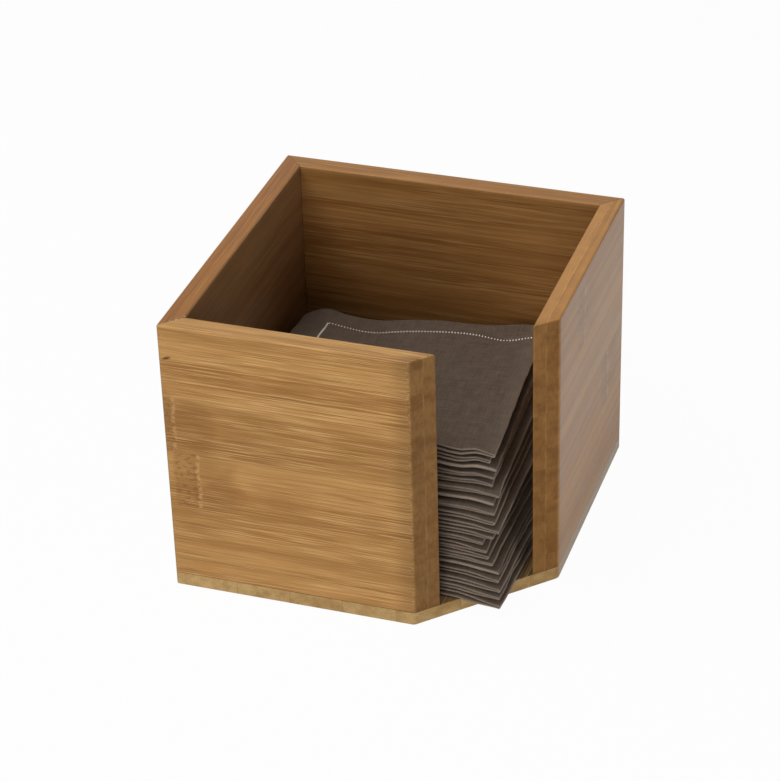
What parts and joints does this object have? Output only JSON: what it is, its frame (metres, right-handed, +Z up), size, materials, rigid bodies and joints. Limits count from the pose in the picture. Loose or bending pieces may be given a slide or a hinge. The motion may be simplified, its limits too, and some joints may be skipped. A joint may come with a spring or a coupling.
{
  "type": "napkin holder",
  "caption": "Square open-topped bamboo box with one corner cut off, holding a stack of dark cloth napkins folded in four.",
  "frame": {"origin": "on the table, under the middle of the box's square outline", "axes": "+Z up; +X to the right along the front; +Y to the back; the open corner is at +X -Y"},
  "size_m": [0.145, 0.145, 0.12],
  "materials": {
    "wall_bamboo": "clear satin varnish over carbonised bamboo",
    "base_bamboo": "clear satin varnish over paler bamboo",
    "spline_bamboo": "bare, glued in",
    "brad_steel": "bright wire",
    "napkin_cloth": "matt plain weave, hemmed with cream thread"
  },
  "bodies": {
    "holder": {"base_board": "base_bamboo", "front_wall": "wall_bamboo", "right_wall": "wall_bamboo", "back_wall": "wall_bamboo", "left_wall": "wall_bamboo", "spline_front_left": "spline_bamboo", "spline_back_left": "spline_bamboo", "spline_back_right": "spline_bamboo", "base_brads": "brad_steel"},
    "napkin_stack": {"napkin_01": "napkin_cloth", "napkin_02": "napkin_cloth", "napkin_03": "napkin_cloth", "napkin_04": "napkin_cloth", "napkin_05": "napkin_cloth", "napkin_06": "napkin_cloth", "napkin_07": "napkin_cloth", "napkin_08": "napkin_cloth", "napkin_09": "napkin_cloth", "napkin_10": "napkin_cloth", "napkin_11": "napkin_cloth", "napkin_12": "napkin_cloth", "napkin_13": "napkin_cloth", "napkin_14": "napkin_cloth", "napkin_15": "napkin_cloth", "napkin_16": "napkin_cloth", "napkin_17": "napkin_cloth", "napkin_18": "napkin_cloth", "napkin_19": "napkin_cloth"},
    "top_napkin": {"napkin_20": "napkin_cloth"}
  },
  "joints": [
    {"name": "napkins_lift", "type": "slide", "parent": "holder", "child": "napkin_stack", "axis": [0, 0, 1], "range_m": [0, 0.12]},
    {"name": "top_napkin_lift", "type": "slide", "parent": "napkin_stack", "child": "top_napkin", "axis": [0, 0, 1], "range_m": [0, 0.065]}
  ]
}
